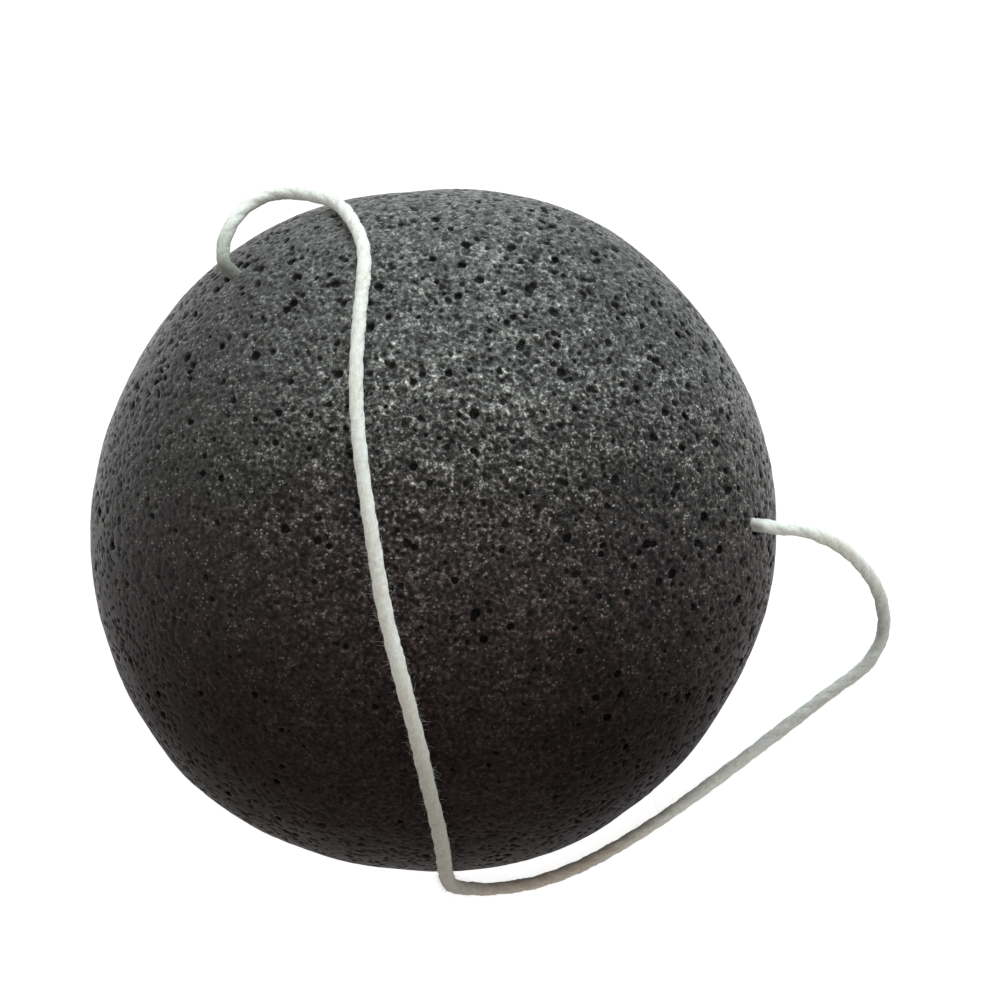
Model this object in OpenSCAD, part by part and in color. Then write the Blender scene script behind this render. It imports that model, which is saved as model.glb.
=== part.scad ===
// Half-ball konjac sponge that hangs on a loop of twisted cotton cord.
// Millimetres, +Z up. The origin is the middle of the flat face that the sponge rests on.
// The dome's crown points along +Z, and the cord's two holes open to the left and right of it.

/* [Sponge] */
// Width of the half-ball at its widest ring
sponge_d = 80; // [70:1:90]
// Height of the half-ball from its flat face to its crown
sponge_h = 36; // [32:1:44]
// Height of the widest ring above the flat face
belly_h = 6; // [3:0.5:9]
// How far the flat face's rim lies inside the widest ring
edge_inset = 4; // [2:0.5:7]

/* [Cord] */
// Thickness of the twisted cotton cord
cord_d = 1.5; // [1.2:0.1:1.8]
// How far inside each hole's mouth the free cord begins
cord_start_depth = 2; // [1.5:0.25:3]

/* [Holes] */
// Height of the two holes above the flat face
hole_h = 18.5; // [16:0.5:20]
// Place of the left hole round the sponge, in degrees from +X
left_hole_angle = 128; // [122:1:136]
// Place of the right hole round the sponge, in degrees from +X
right_hole_angle = 0.5; // [-8:0.5:8]
// Gap between the cord and the wall of its channel
channel_gap = 0.1; // [0.05:0.05:0.2]
// Width of each hole's flared mouth
mouth_d = 3.8; // [3.4:0.2:5]

/* [Knot] */
// Gap between the knot and the wall of its pocket
knot_gap = 0.3; // [0.2:0.1:0.8]

/* [Hidden] */

foam_colour = "#3f3c3c";
cotton_colour = "#e9e8e1";

// How finely the round shapes are divided
around_steps = 96;
small_round_steps = 48;
crown_steps = 24;
edge_steps = 6;
cord_sides = 8;

sponge_r = sponge_d / 2;
crown_h = sponge_h - belly_h;
cord_r = cord_d / 2;
channel_r = cord_r + channel_gap;

// The outline is a quarter of an ellipse above the widest ring and a smaller one below it.
function crown_point(angle) = [sponge_r * cos(angle), belly_h + crown_h * sin(angle)];
function edge_point(angle) = [sponge_r - edge_inset * (1 - cos(angle)), belly_h * (1 - sin(angle))];
sponge_outline = concat(
    [[0, 0]],
    [for (i = [0 : edge_steps]) edge_point(90 * (1 - i / edge_steps))],
    [for (i = [1 : crown_steps]) crown_point(90 * i / crown_steps)]
);

// Both mouths lie on the dome's surface, and the channel runs straight from one to the other.
hole_ring_r = sponge_r * sqrt(1 - pow((hole_h - belly_h) / crown_h, 2));
left_mouth = [hole_ring_r * cos(left_hole_angle), hole_ring_r * sin(left_hole_angle), hole_h];
right_mouth = [hole_ring_r * cos(right_hole_angle), hole_ring_r * sin(right_hole_angle), hole_h];
channel_length = norm(right_mouth - left_mouth);
channel_way = unit(right_mouth - left_mouth);
channel_angle = atan2(channel_way.y, channel_way.x);

// One cord end's way through the reef knot, in cord diameters from the knot's middle:
// in from its leg, round the other end's two strands and back beside itself to a cut tail.
knot_way_shares = [
    [-5.6, 0, 0],
    [-4.6, 0, 0],
    [-3.4, 0.45, 0.25],
    [-2.4, 0.6, 0.5],
    [-1.2, 0.6, 0.1],
    [0, 1.1, -0.65],
    [1.2, 1.9, -0.2],
    [2.2, 1.3, 0.5],
    [2.5, 0, 0.65],
    [2.2, -1.3, 0.5],
    [1.2, -1.9, -0.2],
    [0, -1.1, -0.65],
    [-1.2, -0.6, 0.1],
    [-2.4, -0.6, 0.5],
    [-3.4, -0.8, 0.3],
    [-4.4, -1.1, 0.1]
];
knot_way = cord_d * knot_way_shares;
knot_reach = -knot_way[0].x;
tail_reach = -knot_way[len(knot_way) - 1].x;
knot_half_width = max([for (p = knot_way) p.y]) + cord_r;
pocket_r = knot_half_width + knot_gap;
pocket_straight = 2 * tail_reach - pocket_r;
leg_length = channel_length / 2 - cord_start_depth - knot_reach;

// The free cord's route: up out of the left hole, in a small sagging bight to the dome's shoulder,
// over the dome, down its wall, round on the resting surface and up again to the right hole.
hanging_points = [
    [-23.05, 29.8, 18.2],
    [-23.45, 31.7, 17.1],
    [-22.9, 34.4, 15],
    [-21.2, 37, 12.7],
    [-18.5, 38.5, 11.6],
    [-15.5, 38.6, 12.1],
    [-12.8, 37.9, 14.2],
    [-10.5, 36.8, 16.9],
    [-8.5, 34.2, 21.7],
    [-7.3, 31.5, 24.9],
    [-7, 28.5, 27.5],
    [-7.3, 23, 30.9],
    [-7.5, 16.5, 33.7],
    [-7, 9, 35.7],
    [-5.7, 0, 36.6],
    [-4.3, -8.5, 36],
    [-2.5, -16, 34.4],
    [-1, -22.5, 31.8],
    [0.1, -28, 28.5],
    [0.9, -32, 25.2],
    [1.4, -35.5, 21.4],
    [1.6, -38.6, 16.4],
    [1.8, -40.5, 10.7],
    [2.3, -41.9, 6],
    [4.2, -42.8, 2.2],
    [7.5, -43, 1],
    [13, -42, 0.8],
    [20, -39, 0.8],
    [29.5, -33, 0.8],
    [47.5, -19.4, 0.8],
    [51.5, -16.3, 0.8],
    [53.4, -12.8, 1.2],
    [53.1, -9.3, 3.2],
    [51.6, -6.3, 6.4],
    [48.9, -3.5, 10.4],
    [45.5, -1.3, 14.6],
    [42, -0.1, 17.2],
    [39.2, 0.2, 18.3]
];
free_start = left_mouth + cord_start_depth * channel_way;
free_end = right_mouth - cord_start_depth * channel_way;
hanging_way = concat([free_start], hanging_points, [free_end]);
hanging_ring_pitch = 3 * cord_d;
knot_ring_pitch = 0.6 * cord_d;

function unit(v) = v / norm(v);

// Slope of a smooth curve at each point of a route, by the way from its neighbours.
function slopes(route, first_way, last_way) = [
    for (i = [0 : len(route) - 1])
        i == 0 ? first_way
        : i == len(route) - 1 ? last_way
        : (route[i + 1] - route[i - 1]) / (norm(route[i + 1] - route[i]) + norm(route[i] - route[i - 1]))
];

// The point at share t of the curved span from a to b, which leaves a and meets b at these slopes.
function on_span(a, b, slope_a, slope_b, t) =
    (2 * t * t * t - 3 * t * t + 1) * a
    + (t * t * t - 2 * t * t + t) * norm(b - a) * slope_a
    + (3 * t * t - 2 * t * t * t) * b
    + (t * t * t - t * t) * norm(b - a) * slope_b;

// Middles of a tube's rings along a route: at least two to a span, and one to each pitch of its length.
function ring_middles(route, slope, pitch) = concat(
    [
        for (i = [0 : len(route) - 2])
            let (rings = max(2, round(norm(route[i + 1] - route[i]) / pitch)))
                for (k = [0 : rings - 1])
                    on_span(route[i], route[i + 1], slope[i], slope[i + 1], k / rings)
    ],
    [route[len(route) - 1]]
);

// A vector turned square to the tube's way, without twist from one ring to the next.
function squared(v, way) = unit(v - (v * way) * way);
function ring_sides(ways) = [
    for (
        i = 0, side = unit(cross([0, 0, 1], ways[0]));
        i < len(ways);
        i = i + 1, side = i < len(ways) ? squared(side, ways[i]) : side
    ) side
];

// A closed tube of the cord's thickness along a route, with its ends square to the two given ways.
module cord_tube(route, first_way, last_way, pitch) {
    middles = ring_middles(route, slopes(route, first_way, last_way), pitch);
    last = len(middles) - 1;
    ways = [
        for (i = [0 : last])
            i == 0 ? first_way : i == last ? last_way : unit(middles[i + 1] - middles[i - 1])
    ];
    sides = ring_sides(ways);
    corners = [
        for (i = [0 : last])
            for (k = [0 : cord_sides - 1])
                let (turn = 360 * k / cord_sides)
                    middles[i] + cord_r * (cos(turn) * sides[i] + sin(turn) * cross(ways[i], sides[i]))
    ];
    wall = [
        for (i = [0 : last - 1])
            for (k = [0 : cord_sides - 1])
                let (
                    a = i * cord_sides + k,
                    b = i * cord_sides + (k + 1) % cord_sides
                )
                    each [[a, a + cord_sides, b], [b, a + cord_sides, b + cord_sides]]
    ];
    caps = [
        [for (k = [0 : cord_sides - 1]) k],
        [for (k = [0 : cord_sides - 1]) (last + 1) * cord_sides - 1 - k]
    ];
    polyhedron(points = corners, faces = concat(wall, caps), convexity = 10);
}

// Puts a shape that lies along X at a point of the channel, in line with it.
module in_channel(point) {
    translate(point)
        rotate([0, 0, channel_angle])
            children();
}

// A straight cylinder along +X from the origin.
module rod(length, r) {
    rotate([0, 90, 0])
        cylinder(h = length, r = r, $fn = small_round_steps);
}

// The room in the foam that the knot and its two tails lie in.
module knot_pocket() {
    in_channel((left_mouth + right_mouth) / 2) {
        translate([-pocket_straight / 2, 0, 0])
            rod(pocket_straight, pocket_r);
        for (end = [-1, 1])
            translate([end * pocket_straight / 2, 0, 0])
                sphere(r = pocket_r, $fn = small_round_steps);
    }
}

module sponge() {
    color(foam_colour)
        difference() {
            rotate_extrude($fn = around_steps)
                polygon(sponge_outline);
            in_channel(left_mouth)
                rod(channel_length, channel_r);
            for (mouth = [left_mouth, right_mouth])
                translate(mouth)
                    sphere(d = mouth_d, $fn = small_round_steps);
            knot_pocket();
        }
}

module hanging_cord() {
    color(cotton_colour)
        cord_tube(hanging_way, -channel_way, -channel_way, hanging_ring_pitch);
}

module cord_leg_left() {
    color(cotton_colour)
        in_channel(free_start)
            rod(leg_length, cord_r);
}

module cord_leg_right() {
    color(cotton_colour)
        in_channel(free_end)
            translate([-leg_length, 0, 0])
                rod(leg_length, cord_r);
}

// Reef knot: the two cord ends are the same shape, one turned half a turn about Y.
module knot() {
    last = len(knot_way) - 1;
    color(cotton_colour)
        in_channel((left_mouth + right_mouth) / 2)
            for (turn = [0, 180])
                rotate([0, turn, 0])
                    cord_tube(knot_way, [1, 0, 0], unit(knot_way[last] - knot_way[last - 1]), knot_ring_pitch);
}

sponge();
hanging_cord();
cord_leg_left();
cord_leg_right();
knot();
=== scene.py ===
import math

import bpy
import numpy as np
import openvdb
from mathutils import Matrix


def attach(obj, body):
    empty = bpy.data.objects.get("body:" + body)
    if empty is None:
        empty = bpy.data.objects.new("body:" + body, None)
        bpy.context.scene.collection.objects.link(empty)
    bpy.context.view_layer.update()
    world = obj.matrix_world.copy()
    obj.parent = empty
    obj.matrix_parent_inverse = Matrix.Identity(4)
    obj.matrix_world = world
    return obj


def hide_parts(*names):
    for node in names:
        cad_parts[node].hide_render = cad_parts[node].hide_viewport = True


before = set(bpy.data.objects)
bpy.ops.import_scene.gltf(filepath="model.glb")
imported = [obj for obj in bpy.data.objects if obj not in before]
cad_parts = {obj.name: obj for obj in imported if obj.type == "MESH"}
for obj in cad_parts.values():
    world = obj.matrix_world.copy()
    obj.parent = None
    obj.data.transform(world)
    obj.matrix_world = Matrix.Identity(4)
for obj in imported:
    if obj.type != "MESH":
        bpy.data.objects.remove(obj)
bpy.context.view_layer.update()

MM = 0.001

# The photograph's camera: its place over the dome, its height above the table and its focal length
CAMERA_PLACE = (7.8 * MM, 3.37 * MM, 300 * MM)
FOCAL_PIXELS = 2506
IMAGE_PIXELS = 1000
SENSOR_WIDTH = 36.0
CLIP_START = 0.01

# The half-ball
SPONGE_R = 40 * MM
SPONGE_H = 36 * MM
BELLY_H = 6 * MM
EDGE_INSET = 4 * MM

# The cord and its holes
CORD_D = 1.5 * MM
CORD_START_DEPTH = 2 * MM
HOLE_H = 18.5 * MM
LEFT_HOLE_ANGLE = 128
RIGHT_HOLE_ANGLE = 0.5
MOUTH_R = 0.95 * MM
CHANNEL_R = 0.85 * MM
POCKET_R = 3.9 * MM
POCKET_STRAIGHT = 9.3 * MM
HOLE_RING_R = SPONGE_R * math.sqrt(1 - ((HOLE_H - BELLY_H) / (SPONGE_H - BELLY_H)) ** 2)

# The free cord's route between its two holes
LOOP_POINTS = MM * np.array([
    (-23.05, 29.8, 18.2), (-23.45, 31.7, 17.1), (-22.9, 34.4, 15), (-21.2, 37, 12.7), (-18.5, 38.5, 11.6),
    (-15.5, 38.6, 12.1), (-12.8, 37.9, 14.2), (-10.5, 36.8, 16.9), (-8.5, 34.2, 21.7), (-7.3, 31.5, 24.9),
    (-7, 28.5, 27.5), (-7.3, 23, 30.9), (-7.5, 16.5, 33.7), (-7, 9, 35.7), (-5.7, 0, 36.6),
    (-4.3, -8.5, 36), (-2.5, -16, 34.4), (-1, -22.5, 31.8), (0.1, -28, 28.5), (0.9, -32, 25.2),
    (1.4, -35.5, 21.4), (1.6, -38.6, 16.4), (1.8, -40.5, 10.7), (2.3, -41.9, 6), (4.2, -42.8, 2.2),
    (7.5, -43, 1), (13, -42, 0.8), (20, -39, 0.8), (29.5, -33, 0.8), (47.5, -19.4, 0.8),
    (51.5, -16.3, 0.8), (53.4, -12.8, 1.2), (53.1, -9.3, 3.2), (51.6, -6.3, 6.4), (48.9, -3.5, 10.4),
    (45.5, -1.3, 14.6), (42, -0.1, 17.2), (39.2, 0.2, 18.3),
])
# One cord end's way through the reef knot, in cord diameters from the knot's middle along the channel
KNOT_WAY = CORD_D * np.array([
    (-5.6, 0, 0), (-4.6, 0, 0), (-3.4, 0.45, 0.25), (-2.4, 0.6, 0.5), (-1.2, 0.6, 0.1), (0, 1.1, -0.65),
    (1.2, 1.9, -0.2), (2.2, 1.3, 0.5), (2.5, 0, 0.65), (2.2, -1.3, 0.5), (1.2, -1.9, -0.2), (0, -1.1, -0.65),
    (-1.2, -0.6, 0.1), (-2.4, -0.6, 0.5), (-3.4, -0.8, 0.3), (-4.4, -1.1, 0.1),
])

# How many places make the smooth curve between two of these points, and how far apart the rings of the
# cord's skin are on it
SPAN_PLACES = 40
LOOP_STEP = 0.18 * MM
LEG_STEP = 0.3 * MM
KNOT_STEP = 0.25 * MM

# Three strands, pressed together with a shallow groove between each two, wind round the cord once in each lay
STRANDS = 3
STRAND_R = 0.62 * MM
STRAND_OUT = 0.165 * MM
STRAND_LAY = 8.5 * MM
# How far the twist wanders in radians, and how uneven the cord and each strand are as a share of their
# thickness, each with the length that this takes
TWIST_WANDER = (0.25, 9 * MM)
CORD_UNEVEN = (0.045, 2.1 * MM)
STRAND_UNEVEN = (0.03, 2.3 * MM)
# How much the skin's small lumps and the loosest stretch add, as a share of the cord's thickness
LUMPY_SHARE = 0.04
LOOSE_SHARE = 0.10
# How broad one strand is on the map that its fibres are drawn on, in millimetres
STRAND_GIRTH = 1.7
# The cord lies a little flattened on the table: no strand goes lower than this
CORD_LEAST_Z = 0.02 * MM
# Where the cord is thicker and more fuzzy, down the -Y side of the dome: it fades out along Y and along X
LOOSE_Y = (-12 * MM, 6 * MM)
LOOSE_X = (2 * MM, 7 * MM)
# The loose fibres: how many, how many short straight lengths make one, the least of such a length and how
# much longer the longest is, and their least and greatest radius, in millimetres
FIBRE_COUNT = 9400
FIBRE_STEPS = 3
FIBRE_STEP = (0.09, 0.42)
FIBRE_R = (0.008, 0.014)

# The foam's grid step, which can be set coarser while other pieces are worked on
FOAM_STEP = 0.2
# How many grid places on each side of a point tell whether it lies on a crest
CREST_REACH = 2 if FOAM_STEP < 0.3 else 1
# How far the foam's flat face stays above the table, so that no wall of a pore reaches through it
FLAT_FACE_Z = 0.05


def photo_camera():
    """The camera of the photograph, straight above the dome."""
    bpy.ops.object.camera_add(location=CAMERA_PLACE, rotation=(0, 0, 0))
    camera = bpy.context.object
    camera.name = "photo_camera"
    camera.data.sensor_width = SENSOR_WIDTH
    camera.data.lens = SENSOR_WIDTH * FOCAL_PIXELS / IMAGE_PIXELS
    camera.data.clip_start = CLIP_START
    bpy.context.scene.camera = camera


def mesh_piece(name, points, faces, triangles=None):
    """A smooth mesh piece of four-cornered faces, and maybe triangles, that rides on the part."""
    mesh = bpy.data.meshes.new(name)
    corners, starts = faces.ravel(), np.arange(0, faces.size, 4)
    if triangles is not None:
        starts = np.concatenate([starts, faces.size + np.arange(0, triangles.size, 3)])
        corners = np.concatenate([corners, triangles.ravel()])
    mesh.vertices.add(len(points))
    mesh.vertices.foreach_set("co", np.asarray(points, np.float32).ravel())
    mesh.loops.add(len(corners))
    mesh.loops.foreach_set("vertex_index", corners.astype(np.int32))
    mesh.polygons.add(len(starts))
    mesh.polygons.foreach_set("loop_start", starts.astype(np.int32))
    mesh.polygons.foreach_set("use_smooth", np.ones(len(starts), bool))
    mesh.update(calc_edges=True)
    piece = bpy.data.objects.new(name, mesh)
    bpy.context.scene.collection.objects.link(piece)
    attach(piece, "root")
    return piece


def add_map(piece, name, corners):
    """A UV map with one place for each corner of the piece's faces."""
    layer = piece.data.uv_layers.new(name=name)
    layer.data.foreach_set("uv", np.asarray(corners, np.float32).ravel())


def unit(v):
    """Vectors made one long."""
    return v / np.linalg.norm(v, axis=-1, keepdims=True)


def eased(t, least=0):
    """Goes gently from least to 1 as t goes from 0 to 1."""
    return least + (1 - least) * t * t * (3 - 2 * t)


# The cord

def hole_place(angle):
    """The middle of a hole's mouth on the dome."""
    turn = math.radians(angle)
    return np.array([HOLE_RING_R * math.cos(turn), HOLE_RING_R * math.sin(turn), HOLE_H])


LEFT_MOUTH = hole_place(LEFT_HOLE_ANGLE)
RIGHT_MOUTH = hole_place(RIGHT_HOLE_ANGLE)
CHANNEL_WAY = unit(RIGHT_MOUTH - LEFT_MOUTH)
CHANNEL_SIDE = np.array([-CHANNEL_WAY[1], CHANNEL_WAY[0], 0])
KNOT_PLACE = (LEFT_MOUTH + RIGHT_MOUTH) / 2
FREE_START = LEFT_MOUTH + CORD_START_DEPTH * CHANNEL_WAY
FREE_END = RIGHT_MOUTH - CORD_START_DEPTH * CHANNEL_WAY


def even_route(points, first_way, last_way, step):
    """Evenly spaced places on the smooth curve through a route's points."""
    points = np.asarray(points, float)
    gap = np.linalg.norm(np.diff(points, axis=0), axis=1)
    slope = np.empty_like(points)
    slope[0], slope[-1] = first_way, last_way
    slope[1:-1] = (points[2:] - points[:-2]) / (gap[1:] + gap[:-1])[:, None]
    t = np.linspace(0, 1, SPAN_PLACES, endpoint=False)[:, None]
    fine = [
        (2 * t**3 - 3 * t**2 + 1) * points[i] + (t**3 - 2 * t**2 + t) * gap[i] * slope[i]
        + (3 * t**2 - 2 * t**3) * points[i + 1] + (t**3 - t**2) * gap[i] * slope[i + 1]
        for i in range(len(gap))
    ]
    fine = np.concatenate(fine + [points[-1:]])
    along = np.concatenate([[0], np.cumsum(np.linalg.norm(np.diff(fine, axis=0), axis=1))])
    even = np.linspace(0, along[-1], max(2, round(along[-1] / step)) + 1)
    return np.stack([np.interp(even, along, fine[:, k]) for k in range(3)], axis=1), even


def square_frames(route):
    """The way of a route at each place, and two directions square to it that don't spin along it."""
    way = unit(np.gradient(route, axis=0))
    side = np.empty_like(route)
    held = np.cross([0, 0, 1.0], way[0])
    for i, w in enumerate(way):
        held = unit(held - (held @ w) * w)
        side[i] = held
    return way, side, np.cross(way, side)


def slow_waves(along, pitch, seed):
    """A smooth uneven value from about -1 to 1 along a cord."""
    knots = np.random.default_rng(seed).uniform(-1, 1, int(along[-1] / pitch) + 4)
    at = along / pitch
    i = at.astype(int)
    t = eased(at - i)
    return knots[i] * (1 - t) + knots[i + 1] * t


def lumpy(along, theta, seed):
    """A small uneven swelling over the cord's skin, from about -1 to 1, smooth along and round it."""
    rng = np.random.default_rng(seed)
    value = 0
    for _ in range(14):
        waves = rng.integers(-7, 8)
        pitch = rng.uniform(0.5, 2.2) * MM
        value = value + np.sin(2 * np.pi * along[:, None] / pitch + waves * theta + rng.uniform(0, 2 * np.pi))
    return value / 5


def cord_section(along, seed, steps, loose):
    """The directions round the cord, and how far its skin reaches in each of them at each place along it."""
    share, pitch = CORD_UNEVEN
    swell = 1 + share * slow_waves(along, pitch, seed + 5) + LOOSE_SHARE * loose
    share, pitch = STRAND_UNEVEN
    strands = np.stack([swell + share * slow_waves(along, pitch, seed + 10 + k) for k in range(STRANDS)], 1)
    thick = np.repeat(strands, steps, axis=1)
    thick[:, ::steps] = (strands + np.roll(strands, 1, axis=1)) / 2
    # Each lobe runs from groove to groove, and is part of a circle set off from the cord's middle
    across = np.linspace(-np.pi / STRANDS, np.pi / STRANDS, steps, endpoint=False)
    theta = (2 * np.pi * np.arange(STRANDS)[:, None] / STRANDS + across).ravel()
    lobe = STRAND_OUT * np.cos(across) + np.sqrt(STRAND_R**2 - (STRAND_OUT * np.sin(across)) ** 2)
    return theta, np.tile(lobe, STRANDS) * thick * (1 + LUMPY_SHARE * lumpy(along, theta, seed + 20))


def corner_places(u0, v0, u1, v1):
    """Map places for the corners of faces that span u0 to u1 one way and v0 to v1 the other."""
    return np.stack([u0, v0, u0, v1, u1, v1, u1, v0], 1).reshape(-1, 4, 2)


def in_rows(i, j, lengths, sides, rows):
    """Map places for the faces of a cord's wall, cut into rows one above another with gaps between them."""
    row = np.minimum((i * rows) // lengths, rows - 1)
    row_start = -(-row * lengths // rows)
    row_lengths = lengths / rows + 1
    low, high = [(row + 0.04 + 0.92 * w) / rows for w in (j / sides, (j + 1) / sides)]
    return corner_places((i - row_start) / row_lengths, low, (i + 1 - row_start) / row_lengths, high)


def twisted_cord(name, route, along, seed, start_turn=0.0, steps=10, rows=12, loose=0.0):
    """Three cotton strands twisted together along a route: one closed skin with a lobe for each strand."""
    _, side, over = square_frames(route)
    wander, pitch = TWIST_WANDER
    turn = start_turn + 2 * np.pi * along / STRAND_LAY + wander * slow_waves(along, pitch, seed)
    theta, reach = cord_section(along, seed, steps, loose)
    direction = theta + turn[:, None]
    u, v = reach * np.cos(direction), reach * np.sin(direction)
    skin = route[:, None] + u[:, :, None] * side[:, None] + v[:, :, None] * over[:, None]
    skin[..., 2] = np.maximum(skin[..., 2], CORD_LEAST_Z)
    points = np.concatenate([skin.reshape(-1, 3), skin[0].mean(0)[None], skin[-1].mean(0)[None]])
    rings, sides = len(route), STRANDS * steps
    i, j = [n.ravel() for n in np.meshgrid(np.arange(rings - 1), np.arange(sides), indexing="ij")]
    k, low, high = (j + 1) % sides, i * sides, (i + 1) * sides
    wall = np.stack([low + j, low + k, high + k, high + j], 1)
    # Each cut end closes on a middle point, in pairs of sides
    m = np.arange(0, sides, 2)
    last, middle = (rings - 1) * sides, np.full(len(m), rings * sides)
    start = np.stack([middle, (m + 2) % sides, m + 1, m], 1)
    end = np.stack([middle + 1, last + m, last + m + 1, last + (m + 2) % sides], 1)
    piece = mesh_piece(name, points, np.concatenate([wall, start, end]))
    # One map runs along the strands for their fibres, and one lays the skin out in rows for its baked colours
    thread = corner_places(
        along[i] / MM, STRAND_GIRTH * j / steps, along[i + 1] / MM, STRAND_GIRTH * (j + 1) / steps)
    sheet = in_rows(i, j, rings - 1, sides, rows)
    spare = (0.999, 0.5 / rows)
    for label, on_wall, at_start, at_end in (
        ("along_strand", thread, (along[0] / MM, 0.5), (along[-1] / MM, 0.5)),
        ("OFBake", sheet, spare, spare),
    ):
        on_ends = [np.full((len(m), 4, 2), place) for place in (at_start, at_end)]
        add_map(piece, label, np.concatenate([on_wall] + on_ends))
    return piece


photo_camera()
loop_route, loop_along = even_route(
    np.concatenate([[FREE_START], LOOP_POINTS, [FREE_END]]), -CHANNEL_WAY, -CHANNEL_WAY, LOOP_STEP)
looseness = np.interp(loop_route[:, 1], LOOSE_Y, (1, 0)) * np.interp(loop_route[:, 0], LOOSE_X, (1, 0))
loop_cord = twisted_cord("loop_cord", loop_route, loop_along, seed=3, loose=looseness)
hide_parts("hanging_cord")


def in_channel(points):
    """The part's places for ones given from the knot's middle along the channel, across it and up."""
    points = np.asarray(points, float)
    return KNOT_PLACE + points @ np.stack([CHANNEL_WAY, CHANNEL_SIDE, (0, 0, 1)])


def hidden_cords():
    """The two stretches of cord inside the foam and the reef knot that ties them."""
    half = np.linalg.norm(RIGHT_MOUTH - LEFT_MOUTH) / 2
    start, reach = half - CORD_START_DEPTH, -KNOT_WAY[0, 0]
    for name, node, sign, turn in (
        ("left_leg_cord", "cord_leg_left", -1, 0.0),
        ("right_leg_cord", "cord_leg_right", 1, 2 * np.pi * loop_along[-1] / STRAND_LAY),
    ):
        ends = in_channel([(sign * start, 0, 0), (sign * reach, 0, 0)])
        way = -sign * CHANNEL_WAY
        route, along = even_route(ends, way, way, LEG_STEP)
        leg = twisted_cord(name, route, along, seed=40 + sign, start_turn=turn, steps=6, rows=4)
        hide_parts(node)
    ends = []
    for name, sign in (("knot_left_end", 1), ("knot_right_end", -1)):
        points = in_channel(KNOT_WAY * [sign, 1, sign])
        last = unit(points[-1] - points[-2])
        route, along = even_route(points, sign * CHANNEL_WAY, last, KNOT_STEP)
        ends.append(twisted_cord(name, route, along, seed=60 + sign, steps=6, rows=6))
    bpy.ops.object.select_all(action="DESELECT")
    for end in ends:
        end.select_set(True)
    bpy.context.view_layer.objects.active = ends[0]
    bpy.ops.object.join()
    ends[0].name = ends[0].data.name = "reef_knot"
    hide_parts("knot")


def loose_fibres(count, seed):
    """Fine cotton fibres that stand out of the free cord: most are short and lie close, a few are long."""
    rng = np.random.default_rng(seed)
    way, side, over = square_frames(loop_route)
    at = rng.integers(12, len(loop_route) - 12, count)
    # About a third of them are moved to the fuzzy stretch
    at = np.where(rng.uniform(0, 1, count) < 0.35, rng.choice(np.flatnonzero(looseness > 0.3), count), at)
    turn = rng.uniform(0, 2 * np.pi, count)[:, None]
    out = np.cos(turn) * side[at] + np.sin(turn) * over[at]
    round_cord = np.cross(way[at], out)
    lean = rng.normal(0, 1.0, (count, 1))
    heading = unit(rng.uniform(0.1, 0.8, (count, 1)) * out + lean * way[at] + 0.6 * round_cord)
    curl = rng.normal(0, 0.35, (count, 3)) - 0.12 * out
    least, more = FIBRE_STEP
    step = (least + more * rng.uniform(0, 1, (count, 1)) ** 4) * MM
    place = loop_route[at] + 0.46 * CORD_D * out
    places = [place]
    for _ in range(FIBRE_STEPS):
        heading = unit(heading + curl + 0.15 * rng.normal(0, 1, (count, 3)))
        place = place + step * heading
        places.append(place)
    places = np.stack(places, axis=1)
    # Fibres that would lie in the foam or the table are left off
    r2 = (places[..., 0] ** 2 + places[..., 1] ** 2) / (SPONGE_R + 0.1 * MM) ** 2
    up = np.maximum(places[..., 2] - BELLY_H, 0) / (SPONGE_H - BELLY_H + 0.1 * MM)
    clear = ((r2 + up**2)[:, 1:] > 1).all(1) & (places[..., 2] > 0.05 * MM).all(1)
    places = places[clear]
    ways = unit(np.gradient(places, axis=1))
    across = unit(np.cross(ways, rng.normal(0, 1, (len(places), 1, 3))))
    third = np.cross(ways, across)
    thin = np.linspace(1, 0.35, FIBRE_STEPS + 1)[:, None]
    thick = rng.uniform(*FIBRE_R, (len(places), 1, 1)) * MM * thin
    rings = np.stack([
        places + thick * (math.cos(a) * across + math.sin(a) * third)
        for a in (0, 2 * np.pi / 3, 4 * np.pi / 3)], axis=2)
    base = (np.arange(len(places)) * 3 * (FIBRE_STEPS + 1))[:, None, None]
    i, j = np.arange(FIBRE_STEPS)[:, None], np.arange(3)[None]
    k = (j + 1) % 3
    low, high = base + i * 3, base + (i + 1) * 3
    faces = np.stack([low + j, low + k, high + k, high + j], -1)
    # A fibre's two ends fold shut on their third corner
    last = 3 * FIBRE_STEPS
    shut = [np.stack([base[:, 0, 0] + n for n in corners], -1)[:, None]
            for corners in ((2, 1, 0), (last, last + 1, last + 2))]
    piece = mesh_piece("cord_fibres", rings.reshape(-1, 3), faces.reshape(-1, 4),
                       triangles=np.concatenate(shut, 1).reshape(-1, 3))
    return piece


hidden_cords()
cord_fibres = loose_fibres(FIBRE_COUNT, seed=5)


# The foam: sizes here are in millimetres, and become metres when the mesh is made

# About the area of the half-ball's whole surface, in square millimetres
SKIN_AREA = 14600

# How far the outline departs from round: the middle of each swell in degrees, its width and its height
OUTLINE_SWELLS = (
    (64, 14, 0.47), (226, 18, 0.68), (256, 9, 0.1), (159, 20, -0.42), (96, 10, -0.36), (331, 10, -0.35))
# Uneven surface: pitch of the lumps and their height
LUMPS = ((9.0, 0.14), (3.2, 0.075), (1.5, 0.055), (0.7, 0.03))
# Open pores: how many to a square millimetre, their smallest and largest radius, and how far they favour
# the upper right of the dome
PORES = ((0.021, 0.43, 0.60, 1.0), (0.10, 0.28, 0.44, 0.85), (0.20, 0.18, 0.27, 0.3))
# Shallow torn cells that the rest of the skin is made of: the same values, without the last
CELLS = (3.4, 0.20, 0.38)
# Ragged places between the cells: pitch, how rare they are and how deep they go
RAGGED = (0.55, 1.1, 0.16)
# Room round the cord in the dent that it lies in
DENT_ROOM = 0.12
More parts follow.
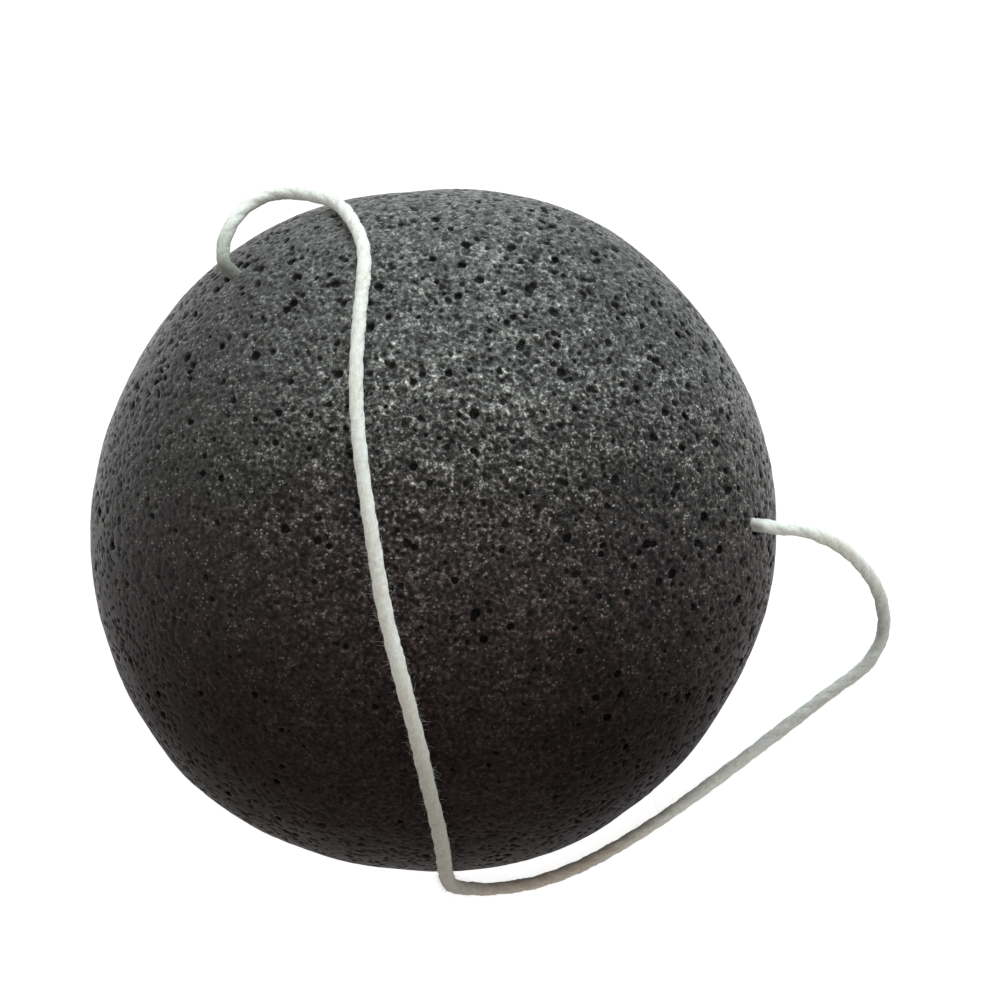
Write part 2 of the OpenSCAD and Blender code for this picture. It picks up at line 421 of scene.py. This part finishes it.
# The block of places that the foam is carved in, and a reach from its middle line that takes in its corners
GRID_START = (-42.03, -42.03, -0.83)
GRID_END = (42.0, 42.0, 37.4)
GRID_REACH = 62
# How deep in the foam a point's depth is measured to: the points at this depth line the channel
MOST_DEPTH = 2
# The foam's flat map: the middle and the reach there of the dome and of the flat face, and the middles and
# reaches of the channel's walls along it and round it
DOME_ON_MAP = (0.455, 0.452)
FLAT_ON_MAP = (0.868, 0.128)
ALONG_ON_MAP = (0.94, 0.045)
ROUND_ON_MAP = (0.06, 0.04)
# How far the channel's walls run from its middle
CHANNEL_REACH = 34
# What counts as the flat face there: what lies lower than this, and nearer to the middle than this distance
# less this many times the height
FLAT_TOP = 1.4
FLAT_EDGE = 36.5
FLAT_SLOPE = 2.2


def spline_stretch(part, axis, start, step, count, pitch):
    """Spreads lattice values smoothly over the grid places along one direction."""
    at = (start + step * np.arange(count)) / pitch
    at -= math.floor(at[0]) - 1
    i = at.astype(int)
    t = at - i
    shares = ((1 - t) ** 3, 3 * t**3 - 6 * t**2 + 4, -3 * t**3 + 3 * t**2 + 3 * t + 1, t**3)
    shape = [1, 1, 1]
    shape[axis] = count
    whole = 0
    for k, share in enumerate(shares):
        whole = whole + (share / 6).astype(np.float32).reshape(shape) * part.take(i - 1 + k, axis)
    return whole


class FoamGrid:
    """Evenly spaced places round the half-ball, for signed distances that are negative in the foam."""

    def __init__(self, step):
        self.step = step
        self.start = np.array(GRID_START, np.float32)
        self.count = np.ceil((np.array(GRID_END) - self.start) / step).astype(int)
        self.x, self.y, self.z = [
            (s + step * np.arange(n)).astype(np.float32) for s, n in zip(self.start, self.count)]

    def noise(self, pitch, seed):
        """A smooth random field of that pitch, with a spread of about 1."""
        size = np.ceil(self.count * self.step / pitch).astype(int) + 5
        field = np.random.default_rng(seed).normal(0, 1.7, size).astype(np.float32)
        for axis in (2, 1, 0):
            field = spline_stretch(field, axis, self.start[axis], self.step, self.count[axis], pitch)
        return field

    def carve(self, field, centres, radii):
        """Takes balls out of the foam."""
        for (cx, cy, cz), r in zip(centres, radii):
            lo = np.maximum(((np.array([cx, cy, cz]) - r - self.start) / self.step).astype(int) - 1, 0)
            hi = np.maximum(((np.array([cx, cy, cz]) + r - self.start) / self.step).astype(int) + 3, 0)
            dx = self.x[lo[0]:hi[0], None, None] - cx
            dy = self.y[None, lo[1]:hi[1], None] - cy
            dz = self.z[None, None, lo[2]:hi[2]] - cz
            block = field[lo[0]:hi[0], lo[1]:hi[1], lo[2]:hi[2]]
            np.maximum(block, r - np.sqrt(dx * dx + dy * dy + dz * dz), out=block)

    def read(self, field, points):
        """The field's value at each point."""
        at = (points - self.start) / self.step
        i = np.clip(at.astype(int), 0, self.count - 2)
        t = (at - i).astype(np.float32)
        value = 0
        for corner in np.ndindex(2, 2, 2):
            share = np.prod(np.where(corner, t, 1 - t), axis=1)
            value = value + share * field[tuple((i + corner).T)]
        return value


def profile_line():
    """Half of the sponge's section, from the middle of its flat face round to the crown."""
    r, h = SPONGE_R / MM, SPONGE_H / MM
    belly, inset = BELLY_H / MM, EDGE_INSET / MM
    a = np.linspace(np.pi / 2, 0, 24)
    edge = np.stack([r - inset * (1 - np.cos(a)), belly * (1 - np.sin(a))], 1)
    a = np.linspace(0, np.pi / 2, 160)[1:]
    crown = np.stack([r * np.cos(a), belly + (h - belly) * np.sin(a)], 1)
    return np.concatenate([[(0, 0)], edge, crown])


def half_ball(grid):
    """Signed distances to the plain half-ball."""
    line = profile_line()
    r_table = np.arange(0, GRID_REACH, grid.step / 2).astype(np.float32)
    p = np.stack(np.meshgrid(r_table, grid.z, indexing="ij"), -1)
    nearest = np.full(p.shape[:2], 1e9, np.float32)
    for a, b in zip(line[:-1], line[1:]):
        ab = (b - a).astype(np.float32)
        t = np.clip(((p - a.astype(np.float32)) @ ab) / (ab @ ab), 0, 1)
        gap = p - a.astype(np.float32) - t[..., None] * ab
        np.minimum(nearest, (gap * gap).sum(-1), out=nearest)
    z = p[..., 1]
    edge = np.interp(grid.z, line[1:, 1], line[1:, 0]).astype(np.float32)
    inside = (p[..., 0] < edge[None]) & (z > 0) & (z < SPONGE_H / MM)
    table = np.sqrt(nearest) * np.where(inside, -1, 1)
    at = np.sqrt(grid.x[:, None] ** 2 + grid.y[None] ** 2) / (grid.step / 2)
    i = at.astype(int)
    t = (at - i).astype(np.float32)[..., None]
    return table[i] * (1 - t) + table[i + 1] * t


def outline_swell(grid):
    """How far the outline swells or draws in round the sponge, fading towards the crown and the flat face."""
    turn = np.degrees(np.arctan2(grid.y[None], grid.x[:, None]))
    swell = 0
    for middle, width, height in OUTLINE_SWELLS:
        off = (turn - middle + 180) % 360 - 180
        swell = swell + height * np.exp(-((off / width) ** 2))
    reach = np.clip((grid.x[:, None] ** 2 + grid.y[None] ** 2) / (SPONGE_R / MM) ** 2, 0, 1.1)
    fade = np.clip(1.15 - np.abs(grid.z - 8) / 30, 0, 1)
    return (swell * reach).astype(np.float32)[..., None] * fade


def skin_places(count, rng):
    """Random places spread evenly over the half-ball's surface, with the way out of the foam at each."""
    line = profile_line()
    run = np.diff(line, axis=0)
    length = np.linalg.norm(run, axis=1)
    area = np.concatenate([[0], np.cumsum(length * (line[:-1, 0] + line[1:, 0]))])
    pick = rng.uniform(0, area[-1], count)
    i = np.clip(np.searchsorted(area, pick) - 1, 0, len(run) - 1)
    t = rng.uniform(0, 1, count)
    # On the flat face the share of a ring grows with its width
    t = np.where(i == 0, np.sqrt(t), t)
    at = line[i] + t[:, None] * run[i]
    out = np.stack([run[i, 1], -run[i, 0]], 1) / length[i, None]
    turn = rng.uniform(0, 2 * np.pi, count)
    c, s = np.cos(turn), np.sin(turn)
    places = np.stack([at[:, 0] * c, at[:, 0] * s, at[:, 1]], 1)
    ways = np.stack([out[:, 0] * c, out[:, 0] * s, out[:, 1]], 1)
    return places, ways


def skin_roughness(x, y, z):
    """How rough the skin is, up to 1: it is smoother towards the rim, towards -X and towards -Y."""
    rough = np.float32(1.0)
    for at, low, high, least in ((z, 8, 26, 0.3), (x, -36, -2, 0.5), (y, -30, 6, 0.35)):
        rough = rough * eased(np.clip((at - low) / (high - low), 0, 1), least)
    return rough


def pore_field(grid, field, skin, seed):
    """Carves the open pores, some of them double, and the shallow torn cells between them."""
    rng = np.random.default_rng(seed)
    for per_area, smallest, largest, favour in PORES:
        places, ways = skin_places(int(SKIN_AREA * per_area * 2), rng)
        corner = np.clip((0.55 * places[:, 0] + 0.85 * places[:, 1] - 6) / 24, -0.9, 1)
        kept = rng.uniform(0, 1, len(places)) < 0.5 + 0.5 * favour * corner
        places, ways = places[kept], ways[kept]
        places = places - ways * grid.read(skin, places)[:, None]
        radius = smallest + (largest - smallest) * rng.uniform(0, 1, len(places)) ** 1.6
        depth = radius * rng.uniform(0.15, 0.6, len(places))
        centres = places - ways * depth[:, None]
        grid.carve(field, centres, radius)
        double = rng.uniform(0, 1, len(places)) < 0.2
        tangent = unit(np.cross(ways, rng.normal(0, 1, ways.shape)))
        shift = radius * rng.uniform(0.4, 0.8, len(places))
        grid.carve(field, (centres + tangent * shift[:, None])[double], 0.8 * radius[double])
    per_area, smallest, largest = CELLS
    places, ways = skin_places(int(SKIN_AREA * per_area), rng)
    places = places - ways * grid.read(skin, places)[:, None]
    radius = smallest + (largest - smallest) * rng.uniform(0, 1, len(places)) ** 1.5
    height = radius * (rng.uniform(-0.1, 0.7, len(places)) + 0.6 * (1 - skin_roughness(*places.T)))
    grid.carve(field, places + ways * height[:, None], radius)


def cord_room(grid, field):
    """Carves the channel, the knot's pocket, the two mouths and the shallow dent that the cord lies in."""
    mouths = [m / MM for m in (LEFT_MOUTH, RIGHT_MOUTH)]
    length = np.linalg.norm(mouths[1] - mouths[0])
    steps = int(length / (0.5 * grid.step)) + 1
    t = np.linspace(0, 1, steps)[:, None]
    channel = mouths[0] * (1 - t) + mouths[1] * t
    grid.carve(field, channel, np.full(len(channel), CHANNEL_R / MM))
    t = np.linspace(-0.5, 0.5, 60)[:, None]
    pocket = KNOT_PLACE / MM + t * POCKET_STRAIGHT / MM * CHANNEL_WAY
    grid.carve(field, pocket, np.full(len(pocket), POCKET_R / MM))
    grid.carve(field, mouths, np.full(2, MOUTH_R / MM))
    dent = loop_route / MM
    grid.carve(field, dent, np.full(len(dent), 0.5 * CORD_D / MM + DENT_ROOM))


def joined_to_most(count, faces):
    """Which points belong to the largest connected part of a mesh."""
    ends = np.concatenate([faces[:, [0, 1]], faces[:, [1, 2]], faces[:, [2, 3]], faces[:, [3, 0]]])
    a, b = ends[:, 0], ends[:, 1]
    group = np.arange(count)
    while True:
        ga, gb = group[a], group[b]
        apart = ga != gb
        if not apart.any():
            break
        a, b = a[apart], b[apart]
        np.minimum.at(group, np.maximum(ga, gb)[apart], np.minimum(ga, gb)[apart])
        while True:
            higher = group[group]
            if (higher == group).all():
                break
            group = higher
    return group == np.bincount(group).argmax()


def blurred(field, reach):
    """The field's mean over the block of grid places round each one."""
    for axis, n in enumerate(field.shape):
        total = np.cumsum(field, axis, dtype=np.float64)
        total = np.concatenate([np.zeros_like(total.take([0], axis)), total], axis)
        low = np.clip(np.arange(n) - reach, 0, n)
        high = np.clip(np.arange(n) + reach + 1, 0, n)
        shape = [1, 1, 1]
        shape[axis] = n
        field = (total.take(high, axis) - total.take(low, axis)) / (high - low).reshape(shape)
        field = field.astype(np.float32)
    return field


def foam_mesh():
    """The half-ball's porous surface as one closed mesh, with how deep each point lies in a pore."""
    grid = FoamGrid(FOAM_STEP)
    rough = skin_roughness(grid.x[:, None, None], grid.y[None, :, None], grid.z[None, None])
    lumps = 0
    for i, (pitch, height) in enumerate(LUMPS):
        lump = height * grid.noise(pitch, 20 + i)
        lumps = lumps + (lump if pitch > 2 else lump * (0.3 + 0.7 * rough))
    skin = half_ball(grid) - outline_swell(grid) - lumps
    skin = np.maximum(skin, FLAT_FACE_Z - grid.z[None, None])
    pitch, rare, deep = RAGGED
    ragged = (grid.noise(pitch, 31) - rare) * 0.5 * pitch
    field = np.maximum(skin, np.minimum(ragged, skin + deep * (0.3 + 0.7 * rough)))
    pore_field(grid, field, skin, 7)
    cord_room(grid, field)
    np.maximum(field, FLAT_FACE_Z - grid.z[None, None], out=field)
    level = openvdb.FloatGrid(1.0)
    level.copyFromArray(np.clip(field, -1, 1), tolerance=0.0)
    points, faces = level.convertToQuads(isovalue=0.0)
    kept = joined_to_most(len(points), faces)
    number = np.cumsum(kept) - 1
    faces = number[faces[kept[faces[:, 0]]]]
    points = points[kept] * grid.step + grid.start
    depth = np.clip(-grid.read(skin, points), 0, MOST_DEPTH)
    crest = grid.read(blurred(np.clip(field, -1, 1), CREST_REACH), points)
    return points, faces, depth, crest


def foam_piece():
    """The konjac foam half-ball."""
    points, faces, depth, crest = foam_mesh()
    # Deep faces come first, so that the outer skin is what a baked map shows where walls overhang
    order = np.argsort(-depth[faces].mean(1), kind="stable")
    faces = faces[order]
    piece = mesh_piece("foam_half_ball", points * MM, faces)
    for name, values in (("pore_depth", depth), ("crest", crest)):
        attribute = piece.data.attributes.new(name, "FLOAT", "POINT")
        attribute.data.foreach_set("value", values.astype(np.float32))
    add_map(piece, "OFBake", foam_layout(points, faces, depth))
    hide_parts("sponge")
    return piece


def foam_layout(points, faces, depth):
    """The places of the foam's corners on its flat map: dome, flat face and channel side by side."""
    line = profile_line()[1:]
    run = np.concatenate([[0], np.cumsum(np.linalg.norm(np.diff(line, axis=0), axis=1))])
    # Seen from the middle of the flat face, the angle from the crown tells how far down the dome a point is
    angle = np.arctan2(np.hypot(points[:, 0], points[:, 1]), points[:, 2])
    line_angle = np.arctan2(line[:, 0], line[:, 1])
    from_crown = run[-1] - np.interp(angle, line_angle[::-1], run[::-1])
    turn = np.arctan2(points[:, 1], points[:, 0])
    middle, reach = DOME_ON_MAP
    around = np.stack([np.cos(turn), np.sin(turn)], 1)
    dome = middle + reach * (from_crown / run[-1])[:, None] * around
    corners = dome[faces]
    # The flat face and the walls of its pores
    middle, reach = FLAT_ON_MAP
    flat = middle + reach * points[:, :2] / GRID_END[0]
    at = points[faces].mean(1)
    under = (np.hypot(at[:, 0], at[:, 1]) < FLAT_EDGE - FLAT_SLOPE * at[:, 2]) & (at[:, 2] < FLAT_TOP)
    corners[under] = flat[faces[under]]
    # The walls of the channel and of the knot's pocket, laid open along one side
    inside = depth[faces].min(1) > 0.95 * MOST_DEPTH
    wall_at = (points - KNOT_PLACE / MM) @ np.stack([CHANNEL_WAY, CHANNEL_SIDE, (0, 0, 1)], 1)
    round_wall = np.arctan2(wall_at[:, 2], wall_at[:, 1])[faces[inside]]
    round_wall = np.where(round_wall - round_wall[:, :1] > np.pi, round_wall - 2 * np.pi, round_wall)
    round_wall = np.where(round_wall - round_wall[:, :1] < -np.pi, round_wall + 2 * np.pi, round_wall)
    shares = (wall_at[:, 0][faces[inside]] / CHANNEL_REACH, round_wall / np.pi)
    corners[inside] = np.stack([
        middle + reach * share for (middle, reach), share in zip((ALONG_ON_MAP, ROUND_ON_MAP), shares)], -1)
    return corners


foam = foam_piece()


# Materials: places in them are in millimetres

def link_in(tree, target, value):
    """Sets a socket to a number or colour, or joins it to another socket."""
    if isinstance(value, bpy.types.NodeSocket):
        tree.links.new(value, target)
    else:
        target.default_value = value


def set_sockets(tree, node, sockets):
    """Sets or joins a node's sockets, given by number or name."""
    for label, value in sockets.items():
        link_in(tree, node.inputs[label], value)


def new_node(tree, kind, sockets, **settings):
    """A shader node of that kind with these settings and sockets."""
    node = tree.nodes.new("ShaderNode" + kind)
    for label, value in settings.items():
        setattr(node, label, value)
    set_sockets(tree, node, sockets)
    return node


def new_material(name, piece_list):
    """An empty procedural material on these pieces, with its node tree and its shader."""
    material = bpy.data.materials.new(name)
    material.use_nodes = True
    for piece in piece_list:
        piece.data.materials.clear()
        piece.data.materials.append(material)
    return material.node_tree, material.node_tree.nodes["Principled BSDF"]


def maths(tree, operation, *values):
    """One step of arithmetic."""
    return new_node(tree, "Math", dict(enumerate(values)), operation=operation).outputs[0]


def chained(tree, operation, first, *more):
    """The same step of arithmetic on one value after another."""
    for value in more:
        first = maths(tree, operation, first, value)
    return first


def spread(tree, value, low, high, to_low, to_high, smooth=True):
    """The value's range low to high stretched over another one."""
    sockets = dict(enumerate((value, low, high, to_low, to_high)))
    kind = "SMOOTHSTEP" if smooth else "LINEAR"
    return new_node(tree, "MapRange", sockets, interpolation_type=kind).outputs[0]


def mixed(tree, share, a, b, blend="MIX"):
    """Two colours mixed by a share."""
    return new_node(tree, "Mix", {0: share, 6: a, 7: b}, data_type="RGBA", blend_type=blend).outputs[2]


def grey(tree, value):
    """A number as a grey."""
    return new_node(tree, "CombineColor", {0: value, 1: value, 2: value}).outputs[0]


def noise_at(tree, vector, scale, detail=2.0, rough=0.5, output="Fac"):
    """A smooth uneven value, or three independent ones as a colour."""
    sockets = {"Vector": vector, "Scale": scale, "Detail": detail, "Roughness": rough}
    return new_node(tree, "TexNoise", sockets).outputs[output]


def cells_at(tree, vector, scale, feature="F1"):
    """Uneven cells, with the distance that the feature names."""
    return new_node(tree, "TexVoronoi", {"Vector": vector, "Scale": scale}, feature=feature)


def bumped(tree, height, distance, strength):
    """The way that a surface faces when a height makes it uneven."""
    return new_node(tree, "Bump", {"Height": height, "Distance": distance, "Strength": strength}).outputs[0]


def parts_of(tree, vector):
    """A place's three numbers."""
    return new_node(tree, "SeparateXYZ", {0: vector}).outputs[:3]


def distance_from(tree, vector, place):
    """How far a place lies from a fixed one."""
    return new_node(tree, "VectorMath", {0: vector, 1: tuple(place)}, operation="DISTANCE").outputs["Value"]


def in_millimetres(tree):
    """The place on a piece in millimetres."""
    place = new_node(tree, "TexCoord", {}).outputs["Object"]
    return new_node(tree, "VectorMath", {0: place, "Scale": 1 / MM}, operation="SCALE").outputs[0]


def attribute_value(tree, name):
    """A number that the mesh carries at each point."""
    return new_node(tree, "Attribute", {}, attribute_name=name).outputs["Fac"]


def konjac_foam_material():
    """Charcoal foam: dark torn cells and paler walls, with painted glints and painted light and shade."""
    tree, shader = new_material("konjac_foam", [foam])
    place = in_millimetres(tree)
    x, y, z = parts_of(tree, place)
    deep, crest = attribute_value(tree, "pore_depth"), attribute_value(tree, "crest")
    uneven = mixed(tree, 0.3, place, noise_at(tree, place, 1.6, output="Color"), "ADD")
    small_cells = cells_at(tree, uneven, 2.7)
    cell_walls = cells_at(tree, uneven, 1.6, "DISTANCE_TO_EDGE")
    luck = new_node(tree, "SeparateColor", {0: small_cells.outputs["Color"]})
    blotch = noise_at(tree, place, 0.14, 2.0, 0.6)
    patchy = noise_at(tree, place, 0.5, 2.0, 0.6)
    fine = noise_at(tree, place, 1.9, 1.5, 0.6)
    # Painted light colour: a little warmer towards -Y, in shade, and cooler towards +Y, in the window light
    blotch_and_light_coolness = spread(tree, maths(tree, "ADD", maths(tree, "MULTIPLY", blotch, 14), y), -13, 25, 0, 1)
    skin = mixed(tree, blotch_and_light_coolness, (0.0262, 0.0178, 0.0178, 1), (0.0292, 0.0299, 0.0285, 1))
    # The walls' paleness grows by shares of itself, so that a few places are far brighter than the rest
    level = chained(
        tree, "ADD",
        spread(tree, fine, 0.2, 0.8, -2.3, 2.3, False),
        spread(tree, patchy, 0.3, 0.7, -0.6, 0.6, False),
        # Cell middles darker, walls paler: partly their own colour, partly painted shade in the cells
        spread(tree, cell_walls.outputs["Distance"], 0.0, 0.15, 0.75, -0.2),
        spread(tree, luck.outputs[0], 0, 1, -0.4, 0.4, False),
        # Painted shade: darker in hollows, paler on crests
        spread(tree, crest, -0.12, 0.12, -0.5, 0.5, False),
    )
    # Its skin is smoother towards -Y, towards -X and towards the rim, and a little more even towards +Y
    rough = chained(
        tree, "MULTIPLY",
        spread(tree, y, -28, 8, 0.40, 1.0),
        spread(tree, x, -36, -2, 0.52, 1.0),
        spread(tree, z, 6, 26, 0.5, 1.0),
    )
    even = maths(tree, "MULTIPLY", rough, spread(tree, y, 6, 26, 1.0, 0.72))
    level = maths(tree, "MULTIPLY", level, even)
    # Painted shade: the colour darkens deep in the pores
    wall = maths(tree, "EXPONENT", maths(tree, "ADD", level, spread(tree, deep, 0.14, 0.5, 0.0, -2.0)))
    # Painted light and shade: paler towards +Y, in the window light, and darker towards -Y, in its shade,
    # and on both sides of the crown, with a painted highlight along the rim at +X
    minus_y_shade = spread(tree, x, -24, 2, 0.87, 0.61)
    left = spread(tree, y, 2, 18, 0.56, 0.37)
    right = spread(tree, y, 4, 20, 0.62, 0.74)
    wall = chained(
        tree, "MULTIPLY", wall,
        spread(tree, y, 0, 20, 1.0, 2.32),
        spread(tree, y, -26, -4, minus_y_shade, 1.0),
        spread(tree, x, -34, 0, left, 1.0),
        spread(tree, x, 8, 20, 1.0, right),
        spread(tree, x, 30, 36, 1.0, 1.3),
    )
    # Painted glints: a few cell walls are pale, most where the foam is rough and pale and towards the light
    # at +Y
    painted_glint = chained(
        tree, "MULTIPLY",
        maths(tree, "GREATER_THAN", luck.outputs[1], spread(tree, patchy, 0.42, 0.62, 0.97, 0.72)),
        spread(tree, small_cells.outputs["Distance"], 0.25, 0.45, 1, 0),
        spread(tree, deep, 0.1, 0.25, 1, 0),
        spread(tree, y, -30, 12, 0.15, 1),
        rough,
        0.8,
    )
    colour = mixed(tree, 1.0, skin, grey(tree, wall), "MULTIPLY")
    height = maths(tree, "SUBTRACT", maths(tree, "MULTIPLY", fine, 1.5),
                   spread(tree, small_cells.outputs["Distance"], 0.0, 0.4, 0.0, 0.6))
    set_sockets(tree, shader, {
        "Base Color": mixed(tree, painted_glint, colour, (0.40, 0.41, 0.41, 1)),
        "Roughness": spread(tree, crest, -0.05, 0.1, 0.5, 0.3),
        "Normal": bumped(tree, height, 0.12 * MM, rough),
        "Specular IOR Level": spread(tree, y, -26, 4, 0.02, 0.11),
        "Sheen Weight": spread(tree, y, -20, 16, 0.0, 0.28),
        "Sheen Roughness": 0.4,
    })


def cotton_tint_group():
    """Unbleached cotton: slow changes of warmth along it, greyer near the left hole, and painted shade."""
    group = bpy.data.node_groups.new("cotton_tint", "ShaderNodeTree")
    for label, way, kind in (
        ("Vector", "INPUT", "NodeSocketVector"),
        ("Fibre", "INPUT", "NodeSocketFloat"),
        ("Color", "OUTPUT", "NodeSocketColor"),
    ):
        group.interface.new_socket(name=label, in_out=way, socket_type=kind)
    place, fibre = group.nodes.new("NodeGroupInput").outputs[:2]
    x, y, z = parts_of(group, place)
    left, right = [distance_from(group, place, mouth / MM) for mouth in (LEFT_MOUTH, RIGHT_MOUTH)]
    patch = spread(group, noise_at(group, place, 0.25, 2.0, 0.6), 0.35, 0.65, 0, 1)
    tint = mixed(group, patch, (0.77, 0.80, 0.77, 1), (0.75, 0.765, 0.715, 1))
    for share, colour in (
        # Painted shadow: the run along the foot of the dome, in the sponge's shadow
        (spread(group, y, -41, -33, 0.8, 0), (0.54, 0.47, 0.395, 1)),
        # Painted shade: the stretch down the -Y side of the dome, turned from the window light
        (chained(group, "MULTIPLY", spread(group, x, 5, 12, 1, 0), spread(group, y, -32, -13, 0.8, 0),
                 spread(group, z, 1, 4, 0, 1)), (0.425, 0.43, 0.375, 1)),
        # Painted shade: the larger bight's outer bend
        (maths(group, "MULTIPLY", spread(group, x, 34, 46, 0, 1), spread(group, y, -12, -5, 0.7, 0)),
         (0.52, 0.54, 0.52, 1)),
        # Greyer near the left hole, and painted shade inside both holes' mouths
        (spread(group, left, 3.5, 9, 0.9, 0), (0.36, 0.39, 0.34, 1)),
        (spread(group, left, 0.9, 3.4, 0.85, 0), (0.13, 0.14, 0.125, 1)),
        (spread(group, right, 0.6, 1.8, 0.6, 0), (0.19, 0.20, 0.19, 1)),
    ):
        tint = mixed(group, share, tint, colour)
    shade = grey(group, spread(group, fibre, 0.3, 0.7, 0.80, 1.07))
    out = group.nodes.new("NodeGroupOutput")
    link_in(group, out.inputs[0], mixed(group, 1.0, tint, shade, "MULTIPLY"))
    return group


def cotton_materials():
    """The twisted strands with their drawn fibres, and the loose fibres that stand out of them."""
    tint_and_shade_group = cotton_tint_group()
    inner = [bpy.data.objects[name] for name in ("left_leg_cord", "right_leg_cord", "reef_knot")]
    tree, shader = new_material("twisted_cotton", [loop_cord] + inner)
    place = in_millimetres(tree)
    thread = new_node(tree, "UVMap", {}, uv_map="along_strand").outputs[0]
    # The fibres of a strand wind round it the other way from the cord's own twist
    lean = new_node(tree, "Mapping", {0: thread, "Rotation": (0, 0, math.radians(28))}).outputs[0]
    drawn = new_node(tree, "Mapping", {0: lean, "Scale": (1.5, 3.6, 1.0)}).outputs[0]
    fibre = maths(tree, "ADD", maths(tree, "MULTIPLY", noise_at(tree, drawn, 1.0, 3.0, 0.65), 0.6),
                  maths(tree, "MULTIPLY", noise_at(tree, place, 3.2, 2.0, 0.6), 0.4))
    set_sockets(tree, shader, {
        "Base Color": new_node(tree, "Group", {0: place, 1: fibre}, node_tree=tint_and_shade_group).outputs[0],
        "Roughness": 0.9,
        "Specular IOR Level": 0.25,
        "Sheen Weight": 0.25,
        "Subsurface Weight": 0.8,
        "Subsurface Radius": (1.0, 0.9, 0.8),
        "Subsurface Scale": 0.7 * MM,
        "Normal": bumped(tree, fibre, 0.065 * MM, 1.0),
    })
    tree, shader = new_material("cotton_fibres", [cord_fibres])
    place = in_millimetres(tree)
    tinted = new_node(tree, "Group", {0: place, 1: noise_at(tree, place, 1.5)}, node_tree=tint_and_shade_group)
    set_sockets(tree, shader, {"Base Color": tinted.outputs[0], "Roughness": 0.8, "Sheen Weight": 0.2})


konjac_foam_material()
cotton_materials()


# The studio: a white table, one broad soft light from the top of the picture and weaker ones round it

# Strength of the light from all round, and how much of the table's own white the camera is shown
WORLD_LIGHT = 0.53
TABLE_WHITE = 0.90
# The lamps: the side and the height that each shines from in degrees, its size, its power and its colour
LAMPS = (
    ("window_light", 81, 16, 0.45, 4.3, (0.88, 0.98, 1.0)),
    ("left_fill", 175, 20, 0.35, 0.25, (1.0, 0.98, 0.97)),
    ("right_fill", -5, 20, 0.35, 0.6, (0.94, 0.99, 1.0)),
)
# How far the lamps stand from the place that they face
LAMP_DISTANCE = 0.6
LAMP_AIM = (0, 0, 15 * MM)


def soft_light(name, azimuth, elevation, size, power, colour):
    """A square lamp that faces the sponge from that side and height."""
    a, e = math.radians(azimuth), math.radians(elevation)
    way = np.array([math.cos(e) * math.cos(a), math.cos(e) * math.sin(a), math.sin(e)])
    bpy.ops.object.light_add(type="AREA", location=tuple(way * LAMP_DISTANCE + LAMP_AIM),
                             rotation=(math.pi / 2 - e, 0, a + math.pi / 2))
    lamp = bpy.context.object
    lamp.name = name
    lamp.data.shape = "SQUARE"
    lamp.data.size = size
    lamp.data.energy = power
    lamp.data.color = colour


def white_to_camera(tree, share):
    """That share for rays from the camera, mirrors and glass, and nothing for all others."""
    path = new_node(tree, "LightPath", {}).outputs
    seen = chained(
        tree, "MAXIMUM", path["Is Camera Ray"], path["Is Glossy Ray"], path["Is Transmission Ray"])
    return maths(tree, "MULTIPLY", seen, share)


def studio():
    """The light from all round, the table and the lamps."""
    world = bpy.data.worlds.new("studio")
    bpy.context.scene.world = world
    world.use_nodes = True
    tree = world.node_tree
    around = tree.nodes["Background"]
    set_sockets(tree, around, {0: (1.0, 0.94, 0.88, 1), 1: WORLD_LIGHT})
    backdrop = new_node(tree, "Background", {0: (1, 1, 1, 1), 1: 1.0})
    either = new_node(
        tree, "MixShader", {0: white_to_camera(tree, 1.0), 1: around.outputs[0], 2: backdrop.outputs[0]})
    link_in(tree, tree.nodes["World Output"].inputs[0], either.outputs[0])

    bpy.ops.mesh.primitive_plane_add(size=4, location=(0, 0, 0))
    floor = bpy.context.object
    floor.name = "white_table"
    tree, shader = new_material("white_table", [floor])
    set_sockets(tree, shader, {
        "Base Color": (0.35, 0.35, 0.35, 1),
        "Roughness": 1.0,
        "Specular IOR Level": 0.0,
        "Emission Color": (1, 1, 1, 1),
        "Emission Strength": white_to_camera(tree, TABLE_WHITE),
    })
    for lamp in LAMPS:
        soft_light(*lamp)


studio()
bpy.context.scene.view_settings.view_transform = "Standard"
